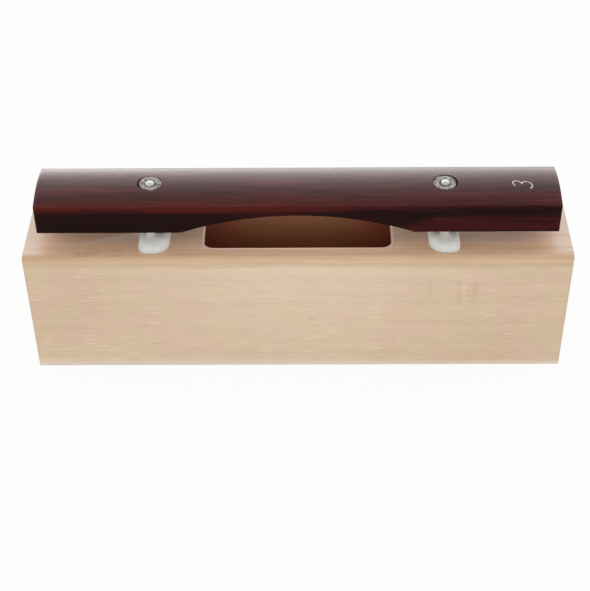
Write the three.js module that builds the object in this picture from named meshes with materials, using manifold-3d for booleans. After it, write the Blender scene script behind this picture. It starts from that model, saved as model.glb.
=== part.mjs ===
// A chime bar: one tuned rosewood bar floating on two soft saddles over its own slotted maple box.
// Millimetres, +Z up. X runs along the bar and Y from the front to the back of the box.
// The origin lies under the middle of the box, on the surface that it stands on.
import * as THREE from "three";
import { mergeVertices } from "three/addons/utils/BufferGeometryUtils.js";
import Module from "manifold-3d";

const wasm = await Module();
wasm.setup();

// Resonator box
const boxLength = 318;
const boxDepth = 58;
const boxHeight = 84.8;
const topBoardThickness = 5;
const longWallThickness = 8;
const endWallThickness = 9;
const bottomBoardThickness = 6;
const topEdgeRadius = 5;
const cornerEase = 1.2;

// Sound slot in the top board
const slotLength = 109.5;
const slotSetback = 10;
const slotCornerRadius = 6;

// Tone bar
const barLength = 300;
const barWidth = 38;
const barSideHeight = 18.5;
const barCrown = 3.3;
const barClearHeight = 11;
const archLength = 134;
const archRise = 12;
const barHoleDiameter = 7.4;
const counterboreDiameter = 15;
const counterboreDepth = 3.6;

// Bar pins, which stand at the two places where a struck bar keeps still
const pinSpacing = 170;
const pinDiameter = 3.2;
const pinHeadDiameter = 5;
const pinHeadHeight = 1.6;
const pinGrip = 12;
const pinPointLength = 2.4;
const pinBlockLength = 26;
const pinBlockHeight = 16;

// Felt washers and sleeves round the pins
const feltDiameter = 13;
const feltThickness = 3.2;
const feltEdgeRadius = 0.5;
const feltDimpleDiameter = 6.6;
const feltDimpleDepth = 1.5;
const sleeveWall = 1.1;

// Saddles under the bar. The left one is glued a little nearer to the middle than its pin.
const saddleWidth = 18;
const saddleSetback = 4;
const saddleBodyHeight = 6.4;
const saddleInnerCorner = 8.8;
const saddleOuterCorner = 5.2;
const saddleTopRound = 4.4;
const leftSaddleShift = 1.8;
const ridgeWidth = 5.2;
const ridgeSetback = 8.5;
const ridgeEndRadius = 2;
const ridgeFillet = 1.6;

// Fits
const fitGap = 0.3;
const barFloat = 0.6;
const cutOverrun = 2;

// Facets of round shapes
const edgeFacets = 8;
const crownFacets = 16;
const archFacets = 20;
const boreFacets = 40;
const turnedFacets = 36;
const cornerFacets = 6;

// Levels and places worked out from the sizes
const wallTop = boxHeight - topBoardThickness;
const innerLength = boxLength - 2 * endWallThickness;
const innerDepth = boxDepth - 2 * longWallThickness;
const slotWidth = boxDepth - 2 * slotSetback;
const barBottom = boxHeight + barClearHeight;
const barTop = barBottom + barSideHeight + barCrown;
const counterboreFloor = barTop - counterboreDepth;
const feltTop = counterboreFloor + feltThickness;
const dimpleFloor = feltTop - feltDimpleDepth;
const headSeat = dimpleFloor + barFloat + fitGap;
const saddleTop = barBottom - fitGap;
const saddleLength = boxDepth - 2 * saddleSetback;
const pinHoleDiameter = pinDiameter + 2 * fitGap;
const pinTip = wallTop - pinGrip;
const sleeveDiameter = pinHoleDiameter + 2 * sleeveWall;
const pinX = pinSpacing / 2;

const maple = { color: 0xdcc3a1, roughness: 0.5, metalness: 0 };
const maplePlain = { color: 0xcfb08a, roughness: 0.6, metalness: 0 };
const rosewood = { color: 0x4b1f1f, roughness: 0.35, metalness: 0 };
const steel = { color: 0xcfcfcc, roughness: 0.25, metalness: 1 };
const felt = { color: 0x8f8b86, roughness: 0.95, metalness: 0 };
const rubber = { color: 0xe9e8e0, roughness: 0.45, metalness: 0 };

const part = new THREE.Group();

// A closed mesh with shared vertices, as a solid that can be joined and cut.
function toSolid(geometry) {
  const bare = geometry.clone();
  bare.deleteAttribute("normal");
  bare.deleteAttribute("uv");
  const merged = mergeVertices(bare);
  return new wasm.Manifold(new wasm.Mesh({
    numProp: 3,
    vertProperties: new Float32Array(merged.attributes.position.array),
    triVerts: new Uint32Array(merged.index.array),
  }));
}

function toGeometry(solid) {
  const cut = solid.getMesh();
  const geometry = new THREE.BufferGeometry();
  geometry.setAttribute("position", new THREE.BufferAttribute(new Float32Array(cut.vertProperties), 3));
  geometry.setIndex(new THREE.BufferAttribute(new Uint32Array(cut.triVerts), 1));
  return geometry;
}

function addPiece(name, geometry, finish, x = 0, y = 0, z = 0) {
  const piece = new THREE.Mesh(geometry, new THREE.MeshStandardMaterial(finish));
  piece.name = name;
  piece.position.set(x, y, z);
  part.add(piece);
}

// A rectangle round the origin, with its four corners rounded in the order
// left front, right front, right back, left back.
function roundedRectangle(width, height, [leftFront, rightFront, rightBack, leftBack]) {
  const x = width / 2;
  const y = height / 2;
  const quarter = Math.PI / 2;
  const outline = new THREE.Shape();
  outline.absarc(leftFront - x, leftFront - y, leftFront, 2 * quarter, 3 * quarter);
  outline.absarc(x - rightFront, rightFront - y, rightFront, 3 * quarter, 4 * quarter);
  outline.absarc(x - rightBack, y - rightBack, rightBack, 0, quarter);
  outline.absarc(leftBack - x, y - leftBack, leftBack, quarter, 2 * quarter);
  outline.closePath();
  return outline;
}

// An outline drawn in X and Y, as a slab from z up to z + height.
function slab(outline, z, height, facets = edgeFacets) {
  const options = { depth: height, bevelEnabled: false, curveSegments: facets };
  return new THREE.ExtrudeGeometry(outline, options).translate(0, 0, z);
}

// An outline drawn in Y and Z, swept along X over a length that is centred on the origin.
function sweptAlongX(outline, length, facets = edgeFacets) {
  const turn = new THREE.Matrix4().makeBasis(
    new THREE.Vector3(0, 1, 0), new THREE.Vector3(0, 0, 1), new THREE.Vector3(1, 0, 0));
  return slab(outline, -length / 2, length, facets).applyMatrix4(turn);
}

// An outline drawn in X and Z, swept along Y over a width that is centred on the origin.
function sweptAlongY(outline, width, facets = edgeFacets) {
  const turn = new THREE.Matrix4().makeBasis(
    new THREE.Vector3(1, 0, 0), new THREE.Vector3(0, 0, 1), new THREE.Vector3(0, -1, 0));
  return slab(outline, -width / 2, width, facets).applyMatrix4(turn);
}

function block(length, depth, height, x, y, z) {
  return new THREE.BoxGeometry(length, depth, height).translate(x, y, z + height / 2);
}

// An upright drill, wide enough to leave a hole of the given diameter.
function drill(diameter, bottom, top, x = 0) {
  const radius = diameter / 2;
  const bit = new THREE.CylinderGeometry(radius, radius, top - bottom, boreFacets);
  return toSolid(bit.rotateX(Math.PI / 2).translate(x, 0, (bottom + top) / 2));
}

// The outside of the box: a section with rounded long top edges, eased corners all round.
function boxEnvelope() {
  const radii = [cornerEase, cornerEase, topEdgeRadius, topEdgeRadius];
  const section = sweptAlongX(roundedRectangle(boxDepth, boxHeight, radii), boxLength);
  section.translate(0, 0, boxHeight / 2);
  const plan = roundedRectangle(boxLength, boxDepth, Array(4).fill(cornerEase));
  return toSolid(section).intersect(toSolid(slab(plan, 0, boxHeight)));
}

function addResonatorBox() {
  const envelope = boxEnvelope();
  const wallY = (boxDepth - longWallThickness) / 2;
  const endX = (boxLength - endWallThickness) / 2;
  const longWall = (y) => block(boxLength, longWallThickness, wallTop, 0, y, 0);
  const endWall = (x) => block(endWallThickness, innerDepth, wallTop, x, 0, 0);
  addPiece("front_wall", toGeometry(toSolid(longWall(-wallY)).intersect(envelope)), maple);
  addPiece("back_wall", toGeometry(toSolid(longWall(wallY)).intersect(envelope)), maple);
  addPiece("left_end_wall", endWall(-endX), maple);
  addPiece("right_end_wall", endWall(endX), maple);
  addPiece("bottom_board", block(innerLength, innerDepth, bottomBoardThickness, 0, 0, 0), maplePlain);

  const board = toSolid(block(boxLength, boxDepth, topBoardThickness, 0, 0, wallTop));
  const slotOutline = roundedRectangle(slotLength, slotWidth, Array(4).fill(slotCornerRadius));
  const slotTool = slab(slotOutline, wallTop - cutOverrun, topBoardThickness + 2 * cutOverrun);
  let topBoard = board.intersect(envelope).subtract(toSolid(slotTool));
  for (const x of [-pinX, pinX]) {
    topBoard = topBoard.subtract(drill(pinHoleDiameter, wallTop - cutOverrun, boxHeight + cutOverrun, x));
  }
  addPiece("top_board", toGeometry(topBoard), maple);
}

// The hardwood block under the top board that grips a pin.
function pinBlock() {
  const body = toSolid(block(pinBlockLength, innerDepth, pinBlockHeight, 0, 0, wallTop - pinBlockHeight));
  return toGeometry(body.subtract(drill(pinHoleDiameter, pinTip - fitGap, wallTop + cutOverrun)));
}

// The bar seen from the front: square ends, and underneath the arch that tunes it.
function barElevation() {
  const archRadius = ((archLength / 2) ** 2 + archRise ** 2) / (2 * archRise);
  const halfAngle = Math.asin(archLength / 2 / archRadius);
  const archCentre = barBottom + archRise - archRadius;
  const outline = new THREE.Shape();
  outline.moveTo(-barLength / 2, barBottom);
  outline.lineTo(-archLength / 2, barBottom);
  outline.absarc(0, archCentre, archRadius, Math.PI / 2 + halfAngle, Math.PI / 2 - halfAngle, true);
  outline.lineTo(barLength / 2, barBottom);
  outline.lineTo(barLength / 2, barTop);
  outline.lineTo(-barLength / 2, barTop);
  outline.closePath();
  return outline;
}

// The bar seen from its end: upright sides under a crowned top.
function barSection() {
  const crownRadius = ((barWidth / 2) ** 2 + barCrown ** 2) / (2 * barCrown);
  const halfAngle = Math.asin(barWidth / 2 / crownRadius);
  const outline = new THREE.Shape();
  outline.moveTo(-barWidth / 2, barBottom);
  outline.lineTo(barWidth / 2, barBottom);
  outline.absarc(0, barTop - crownRadius, crownRadius, Math.PI / 2 - halfAngle, Math.PI / 2 + halfAngle);
  outline.closePath();
  return outline;
}

function toneBar() {
  const arched = toSolid(sweptAlongY(barElevation(), barWidth + 2 * cutOverrun, archFacets));
  let bar = arched.intersect(toSolid(sweptAlongX(barSection(), barLength + 2 * cutOverrun, crownFacets)));
  for (const x of [-pinX, pinX]) {
    bar = bar.subtract(drill(barHoleDiameter, barBottom - cutOverrun, barTop, x));
    bar = bar.subtract(drill(counterboreDiameter, counterboreFloor, barTop + cutOverrun, x));
  }
  return toGeometry(bar);
}

// A profile of radius and height, turned round the upright axis of a pin.
function turned(points) {
  const profile = points.map(([radius, z]) => new THREE.Vector2(radius, z));
  return new THREE.LatheGeometry(profile, turnedFacets).rotateX(Math.PI / 2);
}

// A pin with a low domed head and a blunt point.
function barPin() {
  const radius = pinDiameter / 2;
  const headRadius = pinHeadDiameter / 2;
  const profile = [[0, pinTip], [radius, pinTip + pinPointLength], [radius, headSeat], [headRadius, headSeat]];
  const rimShare = 0.25;
  const rimHeight = pinHeadHeight * rimShare;
  for (let step = 0; step <= cornerFacets; step += 1) {
    const angle = (step / cornerFacets) * Math.PI / 2;
    const rise = rimHeight + (pinHeadHeight - rimHeight) * Math.sin(angle);
    const reach = step === cornerFacets ? 0 : headRadius * Math.cos(angle);
    profile.push([reach, headSeat + rise]);
  }
  return turned(profile);
}

// A washer with softly rounded outer edges, lying on the floor of the counterbore. The pin's head
// has pressed a dimple into it.
function feltWasher() {
  const hole = pinHoleDiameter / 2;
  const dimple = feltDimpleDiameter / 2;
  const outer = feltDiameter / 2;
  const profile = [[dimple, feltTop], [dimple, dimpleFloor], [hole, dimpleFloor], [hole, counterboreFloor]];
  for (const [z, start] of [[counterboreFloor + feltEdgeRadius, -Math.PI / 2], [feltTop - feltEdgeRadius, 0]]) {
    for (let step = 0; step <= cornerFacets; step += 1) {
      const angle = start + (step / cornerFacets) * Math.PI / 2;
      const radius = outer - feltEdgeRadius + feltEdgeRadius * Math.cos(angle);
      profile.push([radius, z + feltEdgeRadius * Math.sin(angle)]);
    }
  }
  profile.push(profile[0]);
  return turned(profile);
}

// A soft tube that keeps the bar off its pin.
function pinSleeve() {
  const inner = pinHoleDiameter / 2;
  const outer = sleeveDiameter / 2;
  const top = counterboreFloor - fitGap;
  return turned([[inner, saddleTop], [outer, saddleTop], [outer, top], [inner, top], [inner, saddleTop]]);
}

// The points of a rounded rectangle, moved in from its edge by an inset.
function insetRing(width, length, radii, inset, z) {
  const shrunk = radii.map((radius) => radius - inset);
  const outline = roundedRectangle(width - 2 * inset, length - 2 * inset, shrunk);
  return outline.curves
    .filter((curve) => curve.isEllipseCurve)
    .flatMap((arc) => arc.getPoints(cornerFacets))
    .map((point) => new THREE.Vector3(point.x, point.y, z));
}

// A closed solid through rings of equal count, stacked upwards.
function stackedRings(rings) {
  const count = rings[0].length;
  const points = rings.flat();
  const bottomCentre = points.push(new THREE.Vector3(0, 0, rings[0][0].z)) - 1;
  const topCentre = points.push(new THREE.Vector3(0, 0, rings.at(-1)[0].z)) - 1;
  const topRing = (rings.length - 1) * count;
  const faces = [];
  for (let i = 0; i < count; i += 1) {
    const next = (i + 1) % count;
    faces.push(bottomCentre, next, i);
    faces.push(topCentre, topRing + i, topRing + next);
    for (let low = 0; low < topRing; low += count) {
      faces.push(low + i, low + next, low + count + next);
      faces.push(low + i, low + count + next, low + count + i);
    }
  }
  const geometry = new THREE.BufferGeometry().setFromPoints(points);
  return geometry.setIndex(faces);
}

// A saddle: a soft pad across the box with a rounded top edge, which carries a narrow ridge
// under the bar. The corners towards the middle of the box are the rounder ones. The ridge stands
// over the pin, which is the origin here, and the pad may sit a little to one side of it.
function saddle(side) {
  const inner = saddleInnerCorner;
  const outer = saddleOuterCorner;
  const padCorners = side < 0 ? [outer, inner, inner, outer] : [inner, outer, outer, inner];
  const padX = side < 0 ? leftSaddleShift : 0;
  const shoulder = boxHeight + saddleBodyHeight;
  const padRings = [insetRing(saddleWidth, saddleLength, padCorners, 0, boxHeight)];
  for (let step = 0; step <= cornerFacets; step += 1) {
    const angle = (step / cornerFacets) * Math.PI / 2;
    const inset = saddleTopRound * (1 - Math.cos(angle));
    const z = shoulder - saddleTopRound * (1 - Math.sin(angle));
    padRings.push(insetRing(saddleWidth, saddleLength, padCorners, inset, z));
  }

  const ridgeLength = saddleLength - 2 * ridgeSetback;
  const ridgeCorners = Array(4).fill(ridgeEndRadius);
  const ridgeRing = (inset, z) => insetRing(ridgeWidth, ridgeLength, ridgeCorners, inset, z);
  const ridgeRings = [ridgeRing(-ridgeFillet, shoulder - saddleTopRound / 2)];
  for (let step = 0; step <= cornerFacets; step += 1) {
    const angle = (step / cornerFacets) * Math.PI / 2;
    ridgeRings.push(ridgeRing(ridgeFillet * (Math.sin(angle) - 1), shoulder + ridgeFillet * (1 - Math.cos(angle))));
  }
  ridgeRings.push(ridgeRing(0, saddleTop));

  const pad = toSolid(stackedRings(padRings).translate(padX, 0, 0));
  const ridged = pad.add(toSolid(stackedRings(ridgeRings)));
  return toGeometry(ridged.subtract(drill(pinHoleDiameter, boxHeight - cutOverrun, saddleTop + cutOverrun)));
}

addResonatorBox();
addPiece("tone_bar", toneBar(), rosewood);
for (const [side, word] of [[-1, "left"], [1, "right"]]) {
  const x = side * pinX;
  addPiece(`pin_block_${word}`, pinBlock(), maplePlain, x);
  addPiece(`bar_saddle_${word}`, saddle(side), rubber, x);
  addPiece(`pin_sleeve_${word}`, pinSleeve(), rubber, x);
  addPiece(`felt_washer_${word}`, feltWasher(), felt, x);
  addPiece(`bar_pin_${word}`, barPin(), steel, x);
}

export default part;
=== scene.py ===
# %% [markdown]
# This scene dresses a chime bar: one tuned rosewood bar that floats on two soft saddles over its own
# maple resonator box. The construction comes in as a fixed frame, whose pieces already have their
# real size and place. Each visible piece is modelled again here with the eased edges and the surface
# that a frame of plain solids lacks, and takes over from the frame's piece at the same place.

# %% Load the frame
import math

import bmesh
import bpy
from mathutils import Matrix, Vector, noise


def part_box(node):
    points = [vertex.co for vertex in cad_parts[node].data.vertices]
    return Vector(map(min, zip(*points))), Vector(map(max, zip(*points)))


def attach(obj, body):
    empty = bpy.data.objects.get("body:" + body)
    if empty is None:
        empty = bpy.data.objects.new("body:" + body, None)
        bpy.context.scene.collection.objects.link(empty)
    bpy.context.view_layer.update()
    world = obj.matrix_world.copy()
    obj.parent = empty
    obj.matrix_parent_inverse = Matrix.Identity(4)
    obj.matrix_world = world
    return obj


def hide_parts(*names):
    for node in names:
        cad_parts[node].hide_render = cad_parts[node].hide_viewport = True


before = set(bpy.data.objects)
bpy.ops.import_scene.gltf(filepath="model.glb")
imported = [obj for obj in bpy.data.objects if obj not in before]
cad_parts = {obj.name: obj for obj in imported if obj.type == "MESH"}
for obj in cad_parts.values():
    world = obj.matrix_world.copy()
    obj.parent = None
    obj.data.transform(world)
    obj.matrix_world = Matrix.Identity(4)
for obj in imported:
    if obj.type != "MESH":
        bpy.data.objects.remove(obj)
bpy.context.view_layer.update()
MM = 0.001


def in_mm(values):
    return [round(value / MM, 1) for value in values]


# %% [markdown]
# The camera comes first, because everything is judged through it. A photograph of a straight-edged
# object holds enough to work out where it was taken from: parallel edges of known length fix the
# lens, the height and the tilt. The lens is given as the focal length in pixels of the picture, which
# turns into millimetres over Blender's sensor, whose width spans the picture's longer side. The
# camera's turns are in degrees.

# %% Camera
PICTURE_LONG_SIDE = 591
FOCAL_PIXELS = 1394.9
SENSOR_WIDTH = 36
CAMERA_PLACE = (6.58 * MM, -647.89 * MM, 592.65 * MM)
CAMERA_TURN = 0.769
CAMERA_LOOK_DOWN = 40.891
CAMERA_ROLL = -0.697
NEAREST_SEEN = 10 * MM

scene = bpy.context.scene
scene.view_settings.view_transform = "Standard"
camera_data = bpy.data.cameras.new("camera")
camera_data.sensor_width = SENSOR_WIDTH
camera_data.lens = FOCAL_PIXELS * SENSOR_WIDTH / PICTURE_LONG_SIDE
camera_data.clip_start = NEAREST_SEEN
camera = bpy.data.objects.new("camera", camera_data)
scene.collection.objects.link(camera)
camera.matrix_world = (
    Matrix.Translation(CAMERA_PLACE)
    @ Matrix.Rotation(math.radians(CAMERA_TURN), 4, "Z")
    @ Matrix.Rotation(math.radians(90 - CAMERA_LOOK_DOWN), 4, "X")
    @ Matrix.Rotation(math.radians(CAMERA_ROLL), 4, "Z")
)
scene.camera = camera
print("camera: lens", round(camera_data.lens, 2), "mm")

# %% [markdown]
# Materials here are small node trees, so a few short helpers keep them readable. One adds a node and
# fills or links its sockets in one go, and the others wrap plain arithmetic. Most masks are fades: a
# value that is remapped from two ends to the two levels that it has at them, and held there beyond. A
# fade is written down in that order, after the name of its axis or value where it has several.

# %% Node helpers


def plug_in(tree, socket, value):
    """Links a socket to another node's output, or sets its own value."""
    if isinstance(value, bpy.types.NodeSocket):
        tree.links.new(value, socket)
    else:
        socket.default_value = value


def add_node(tree, kind, sockets=None, **settings):
    node = tree.nodes.new(kind)
    for key, value in settings.items():
        setattr(node, key, value)
    for key, value in (sockets or {}).items():
        plug_in(tree, node.inputs[key], value)
    return node


def arithmetic(tree, operation, first, second=0.0):
    return add_node(tree, "ShaderNodeMath", {0: first, 1: second}, operation=operation).outputs[0]


def product(tree, first, *others):
    for other in others:
        first = arithmetic(tree, "MULTIPLY", first, other)
    return first


def remap(tree, value, low, high, new_low=0.0, new_high=1.0):
    """Stretches a value's range from low..high to new_low..new_high, and holds it there."""
    sockets = {"Value": value, "From Min": low, "From Max": high, "To Min": new_low, "To Max": new_high}
    return add_node(tree, "ShaderNodeMapRange", sockets).outputs["Result"]


def faded(tree, values, fades):
    """Several fades multiplied together, each with the name of the value that it reads."""
    return product(tree, *(remap(tree, values[name], *ends) for name, *ends in fades))


def vector_arithmetic(tree, operation, first, second=(0, 0, 0)):
    return add_node(tree, "ShaderNodeVectorMath", {0: first, 1: second}, operation=operation).outputs[0]


def length_of(tree, vector):
    return add_node(tree, "ShaderNodeVectorMath", {0: vector}, operation="LENGTH").outputs["Value"]


def parts_of(tree, vector):
    return add_node(tree, "ShaderNodeSeparateXYZ", {0: vector}).outputs


def folded(tree, vector):
    """A place or direction with left and right, and front and back, folded together."""
    return vector_arithmetic(tree, "ABSOLUTE", vector)


# %% [markdown]
# Wood, rubber and felt are all uneven, so every finish here mixes colours by a noise. Only the middle
# of a noise's range is common, so that range is stretched out to make patches with a clear edge. A
# scale of three numbers draws the patches out along an axis, as grain is.

# %% Pattern and material helpers
MASK_EDGE = 0.15 * MM
pin_places = {side: (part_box("bar_pin_" + side)[0].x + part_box("bar_pin_" + side)[1].x) / 2
              for side in ("left", "right")}


def noise_of(tree, vector, scale, detail, roughness=0.5):
    sockets = {"Vector": vector, "Scale": scale, "Detail": detail, "Roughness": roughness}
    return add_node(tree, "ShaderNodeTexNoise", sockets).outputs["Fac"]


def patches(tree, place, scale, detail, *fade, roughness=0.5, shift=(0, 0, 0)):
    """A noise of a scale and a detail, with a fade laid over it."""
    if isinstance(scale, tuple):
        sockets = {"Vector": place, "Location": shift, "Scale": scale}
        place = add_node(tree, "ShaderNodeMapping", sockets).outputs[0]
        scale = 1.0
    return remap(tree, noise_of(tree, place, scale, detail, roughness), *fade)


def mix_colours(tree, share, first, second, blend="MIX"):
    """The second colour laid over the first by a share."""
    node = add_node(tree, "ShaderNodeMix", data_type="RGBA", blend_type=blend)
    plug_in(tree, node.inputs["Factor"], share)
    colour_inputs = [socket for socket in node.inputs if socket.type == "RGBA"]
    plug_in(tree, colour_inputs[0], first)
    plug_in(tree, colour_inputs[1], second)
    return next(socket for socket in node.outputs if socket.type == "RGBA")


def colour_ramp(tree, value, stops):
    """A colour for each value: the stops are pairs of a position and a colour."""
    node = add_node(tree, "ShaderNodeValToRGB", {"Fac": value})
    elements = node.color_ramp.elements
    while len(elements) < len(stops):
        elements.new(0.5)
    for element, (position, colour) in zip(elements, stops):
        element.position = position
        element.color = (*colour, 1)
    return node.outputs["Color"]


def bump(tree, height, distance, strength):
    """Relief that only the light sees, from a height, its depth in metres and its strength."""
    sockets = {"Height": height, "Distance": distance, "Strength": strength}
    return add_node(tree, "ShaderNodeBump", sockets).outputs["Normal"]


def new_material(name):
    material = bpy.data.materials.new(name)
    material.use_nodes = True
    print("material:", name)
    return material, material.node_tree, material.node_tree.nodes["Principled BSDF"]


def set_finish(tree, shader, sockets):
    for name, value in sockets.items():
        plug_in(tree, shader.inputs[name], value)


def object_place(tree):
    """The place on the object in metres, which is the frame's own place on every piece."""
    return add_node(tree, "ShaderNodeTexCoord").outputs["Object"]


def object_normal(tree):
    """The way a face looks, as a direction of the object."""
    return add_node(tree, "ShaderNodeTexCoord").outputs["Normal"]


def within(tree, value, limit, edge=MASK_EDGE):
    """1 where a value is under a limit, and 0 over it, with a narrow slope between."""
    return remap(tree, value, limit + edge, limit - edge)


def level_length(tree, vector):
    """A vector's length as seen from above."""
    return length_of(tree, vector_arithmetic(tree, "MULTIPLY", vector, (1, 1, 0)))


def from_pin_axis(tree, place):
    """The distance to the axis of the nearer pin."""
    away = vector_arithmetic(tree, "SUBTRACT", folded(tree, place), (pin_places["right"], 0, 0))
    return level_length(tree, away)


# %% [markdown]
# The photograph was lit in a white tent, so light comes from everywhere and shadows are soft. The
# world gives that light: white, and stronger near the horizon than overhead, because the low light is
# what reaches in under the bar. Its level is one at which a colour renders about as it is written. A
# polished bar also mirrors what stands round it, so glossy rays see a second world. That one is bright
# along the horizon and fades upwards. It is dimmer towards the right, the front and both far ends, and
# a little dimmer again high on the left. The camera sees plain white.

# %% World
TENT_FADE = (0.0, 1.0, 1.57, 0.62)
MIRRORED_FADES = (
    ("Z", 0.0, 1.0, 3.12, 0.2),
    ("X", -0.15, 0.15, 1.14, 0.86),
    ("Y", -0.2, 0.6, 0.5, 1.0),
)
FAR_END_FADE = (0.4, 0.9, 1.0, 0.4)
HIGH_LEFT_DROP = (("X", 0.0, -0.12, 0.0, 0.2), ("Z", 0.12, 0.36))
WHITE = (1, 1, 1, 1)
BACKDROP_WHITE = (0.995, 0.995, 0.995, 1)


def background(tree, colour, level):
    return add_node(tree, "ShaderNodeBackground", {"Color": colour, "Strength": level}).outputs[0]


def mixed_shader(tree, share, first, second):
    return add_node(tree, "ShaderNodeMixShader", {0: share, 1: first, 2: second}).outputs[0]


def in_gloss_or_glass(tree, path):
    return arithmetic(tree, "MAXIMUM", path["Is Glossy Ray"], path["Is Transmission Ray"])


world = bpy.data.worlds.new("light tent")
scene.world = world
world.use_nodes = True
tree = world.node_tree
tree.nodes.clear()
heading = parts_of(tree, add_node(tree, "ShaderNodeTexCoord").outputs["Generated"])
tent_level = remap(tree, heading["Z"], *TENT_FADE)
far_ends = remap(tree, arithmetic(tree, "ABSOLUTE", heading["X"]), *FAR_END_FADE)
high_left = arithmetic(tree, "SUBTRACT", 1.0, faded(tree, heading, HIGH_LEFT_DROP))
mirrored_level = product(tree, faded(tree, heading, MIRRORED_FADES), far_ends, high_left)
path = add_node(tree, "ShaderNodeLightPath").outputs
lit = mixed_shader(tree, in_gloss_or_glass(tree, path), background(tree, WHITE, tent_level),
                   background(tree, WHITE, mirrored_level))
shown = mixed_shader(tree, path["Is Camera Ray"], lit, background(tree, BACKDROP_WHITE, 1.0))
add_node(tree, "ShaderNodeOutputWorld", {"Surface": shown})
world.cycles.sampling_method = "NONE"
print("world:", len(tree.nodes), "nodes")

# %% [markdown]
# The object stands on white paper that runs out of sight. A lit sheet would turn grey with distance,
# so camera and mirrored rays see it as mostly plain white, and the small lit share keeps a little of
# the soft contact shadow.

# %% Floor
FLOOR_SIZE = 8.0
FLOOR_DROP = 0.05 * MM
FLOOR_PAPER = (0.95, 0.95, 0.95, 1)
PLAIN_WHITE_SHARE = 0.9


def deselect_all():
    if bpy.context.mode != "OBJECT":
        bpy.ops.object.mode_set(mode="OBJECT")
    bpy.ops.object.select_all(action="DESELECT")


def dress(piece, material):
    piece.data.materials.clear()
    piece.data.materials.append(material)


deselect_all()
bpy.ops.mesh.primitive_plane_add(size=FLOOR_SIZE, location=(0, 0, -FLOOR_DROP))
floor = bpy.context.object
floor.name = "floor"
material, tree, shader = new_material("white paper")
tree.nodes.remove(shader)
path = add_node(tree, "ShaderNodeLightPath").outputs
seen = arithmetic(tree, "MAXIMUM", path["Is Camera Ray"], in_gloss_or_glass(tree, path))
paper = add_node(tree, "ShaderNodeBsdfDiffuse", {"Color": FLOOR_PAPER}).outputs[0]
plain_white = add_node(tree, "ShaderNodeEmission", {"Color": WHITE, "Strength": 1.0}).outputs[0]
sheet = mixed_shader(tree, product(tree, seen, PLAIN_WHITE_SHARE), paper, plain_white)
plug_in(tree, tree.nodes["Material Output"].inputs["Surface"], sheet)
dress(floor, material)

# %% [markdown]
# Modelling by operators works on whatever is selected, and the frame's nodes come in selected. So
# every step starts by clearing the selection, and faces and edges are then picked by where they are.
# These helpers do that picking, add a block between two corners or an upright rod on the box's middle
# line, round edges with a bevel, and apply a modifier at once.

# %% Modelling helpers
NEAR = 0.01 * MM
STRAIGHT_SHARE = 0.99
SHARP_ANGLE = 50
SEAM_EASE = 0.07 * MM
SEAM_SEGMENTS = 2


def activate(obj):
    deselect_all()
    obj.select_set(True)
    bpy.context.view_layer.objects.active = obj


def start_editing(obj):
    activate(obj)
    bpy.ops.object.mode_set(mode="EDIT")


def stop_editing():
    bpy.ops.object.mode_set(mode="OBJECT")


def choose(obj, kind, test):
    """In edit mode, selects the vertices, edges or faces that pass a test, and nothing else."""
    bpy.ops.mesh.select_mode(type=kind)
    bpy.ops.mesh.select_all(action="DESELECT")
    mesh = bmesh.from_edit_mesh(obj.data)
    elements = {"VERT": mesh.verts, "EDGE": mesh.edges, "FACE": mesh.faces}[kind]
    chosen = [element for element in elements if test(element)]
    for element in chosen:
        element.select_set(True)
    bmesh.update_edit_mesh(obj.data)
    return len(chosen)


def close_to(value, wanted):
    return abs(value - wanted) < NEAR


def along(edge, axis):
    """Whether an edge runs along an axis."""
    way = edge.verts[1].co - edge.verts[0].co
    return abs(way[axis]) > STRAIGHT_SHARE * way.length


def upright(edge):
    return along(edge, 2)


def middle_of(edge):
    return (edge.verts[0].co + edge.verts[1].co) / 2


def keep_place(name):
    """Names the primitive just added, and moves its place and size into its mesh."""
    piece = bpy.context.object
    piece.name = name
    bpy.ops.object.transform_apply(location=True, rotation=True, scale=True)
    return piece


def block_between(name, low, high):
    deselect_all()
    low, high = Vector(low), Vector(high)
    bpy.ops.mesh.primitive_cube_add(size=1, location=(low + high) / 2, scale=high - low)
    return keep_place(name)


def rod_between(name, x, bottom, top, radius, sides):
    deselect_all()
    place = (x, 0, (bottom + top) / 2)
    bpy.ops.mesh.primitive_cylinder_add(vertices=sides, radius=radius, depth=top - bottom, location=place)
    return keep_place(name)


def apply_modifier(obj, kind, **settings):
    activate(obj)
    modifier = obj.modifiers.new(kind.lower(), kind)
    for key, value in settings.items():
        setattr(modifier, key, value)
    bpy.ops.object.modifier_apply(modifier=modifier.name)


def combine(obj, tool, operation):
    """Cuts, joins or trims a piece with a tool, and throws the tool away."""
    apply_modifier(obj, "BOOLEAN", operation=operation, object=tool, solver="EXACT")
    bpy.data.objects.remove(tool)


def ease_chosen(width, segments):
    bpy.ops.mesh.bevel(offset=width, segments=segments, profile=0.5, affect="EDGES")


def ease_where(obj, test, width, segments):
    """Rounds the edges that pass a test, and says how many there are."""
    start_editing(obj)
    count = choose(obj, "EDGE", test)
    ease_chosen(width, segments)
    stop_editing()
    return count


def ease_sharp_edges(obj, width=SEAM_EASE, segments=SEAM_SEGMENTS):
    start_editing(obj)
    choose(obj, "EDGE", lambda edge: False)
    bpy.ops.mesh.edges_select_sharp(sharpness=math.radians(SHARP_ANGLE))
    ease_chosen(width, segments)
    stop_editing()


def hand_over(piece, nodes, body, material, smooth_angle=30):
    """Gives a finished piece its material and its place in the frame."""
    activate(piece)
    bpy.ops.object.shade_smooth_by_angle(angle=math.radians(smooth_angle))
    dress(piece, material)
    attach(piece, body)
    if nodes:
        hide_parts(*nodes)
    print("piece:", piece.name, in_mm(piece.dimensions), "mm,", len(piece.data.polygons), "faces")


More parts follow.
